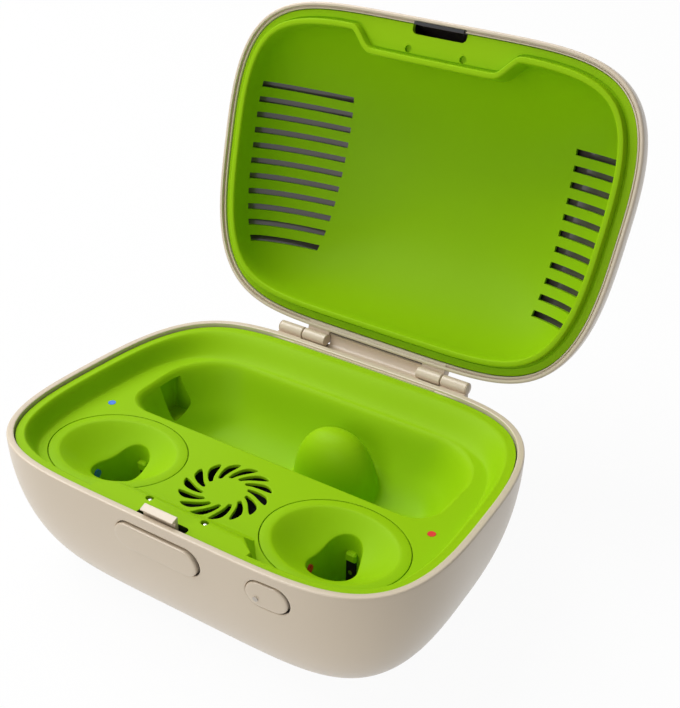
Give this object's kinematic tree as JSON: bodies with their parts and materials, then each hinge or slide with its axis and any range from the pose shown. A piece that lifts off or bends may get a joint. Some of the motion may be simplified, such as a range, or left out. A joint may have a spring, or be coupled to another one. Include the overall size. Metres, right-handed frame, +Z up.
{
  "type": "hearing aid dryer",
  "caption": "Clamshell case that dries and keeps a pair of hearing aids: domed lid on a rear hinge, a fan grille, oval dishes with wells, a storage pocket and push buttons.",
  "frame": {"origin": "centre of the face that the case rests on, in the plane of the undersides of its feet, 0.6 mm below the middle of the flat underside", "axes": "+Z up; +X to the right seen from the front; -Y is the front with the latch, +Y the back with the hinge"},
  "size_m": [0.1102, 0.1274, 0.1108],
  "materials": {
    "shell_champagne": "satin moulded, pearl champagne",
    "tray_green": "smooth satin moulded, lime green",
    "rubber_black": "matt",
    "steel": "bright drawn",
    "marker_blue": "gloss",
    "marker_red": "gloss",
    "black_plastic": "satin moulded",
    "contact_gold": "plated",
    "heater_metal": "stamped",
    "board_green": "solder mask",
    "cell_wrap": "foil pouch",
    "light_pipe": "clear, frosted end"
  },
  "bodies": {
    "base": {"base_shell": "shell_champagne", "base_feet": "rubber_black", "case_screws": "steel", "inner_tray": "tray_green", "left_dish": "tray_green", "right_dish": "tray_green", "left_ear_markers": "marker_blue", "right_ear_markers": "marker_red", "left_contact_carrier": "black_plastic", "right_contact_carrier": "black_plastic", "charge_contacts": "contact_gold", "fan_frame": "black_plastic", "heater_plate": "heater_metal", "main_board": "board_green", "board_parts": "black_plastic", "battery_cell": "cell_wrap", "charging_socket": "steel", "switch_board": "board_green", "power_switch": "black_plastic", "latch_spring": "steel", "probe_pins": "steel", "hinge_pins": "steel"},
    "lid": {"lid_shell": "shell_champagne", "lid_liner": "tray_green", "latch_keeper": "steel"},
    "latch": {"latch_button": "shell_champagne", "latch_slide": "shell_champagne"},
    "power_button": {"power_button": "shell_champagne", "status_light": "light_pipe"},
    "fan_impeller": {"fan_impeller": "black_plastic"}
  },
  "joints": [
    {"name": "lid_hinge", "type": "hinge", "parent": "base", "child": "lid", "pos_m": [0, 0.04155, 0.03425], "axis": [1, 0, 0], "range_deg": [0, 108.6]},
    {"name": "latch_press", "type": "slide", "parent": "base", "child": "latch", "axis": [0, 1, 0], "range_m": [0, 0.0009], "stiffness_N_per_m": 600, "springref_m": -0.002, "deforming": ["latch_spring"]},
    {"name": "power_press", "type": "slide", "parent": "base", "child": "power_button", "axis": [0, 1, 0], "range_m": [0, 0.0004], "stiffness_N_per_m": 1500, "springref_m": -0.0005},
    {"name": "fan_spin", "type": "hinge", "parent": "base", "child": "fan_impeller", "pos_m": [0, -0.0163, 0.0225], "axis": [0, 0, 1], "continuous": true}
  ]
}
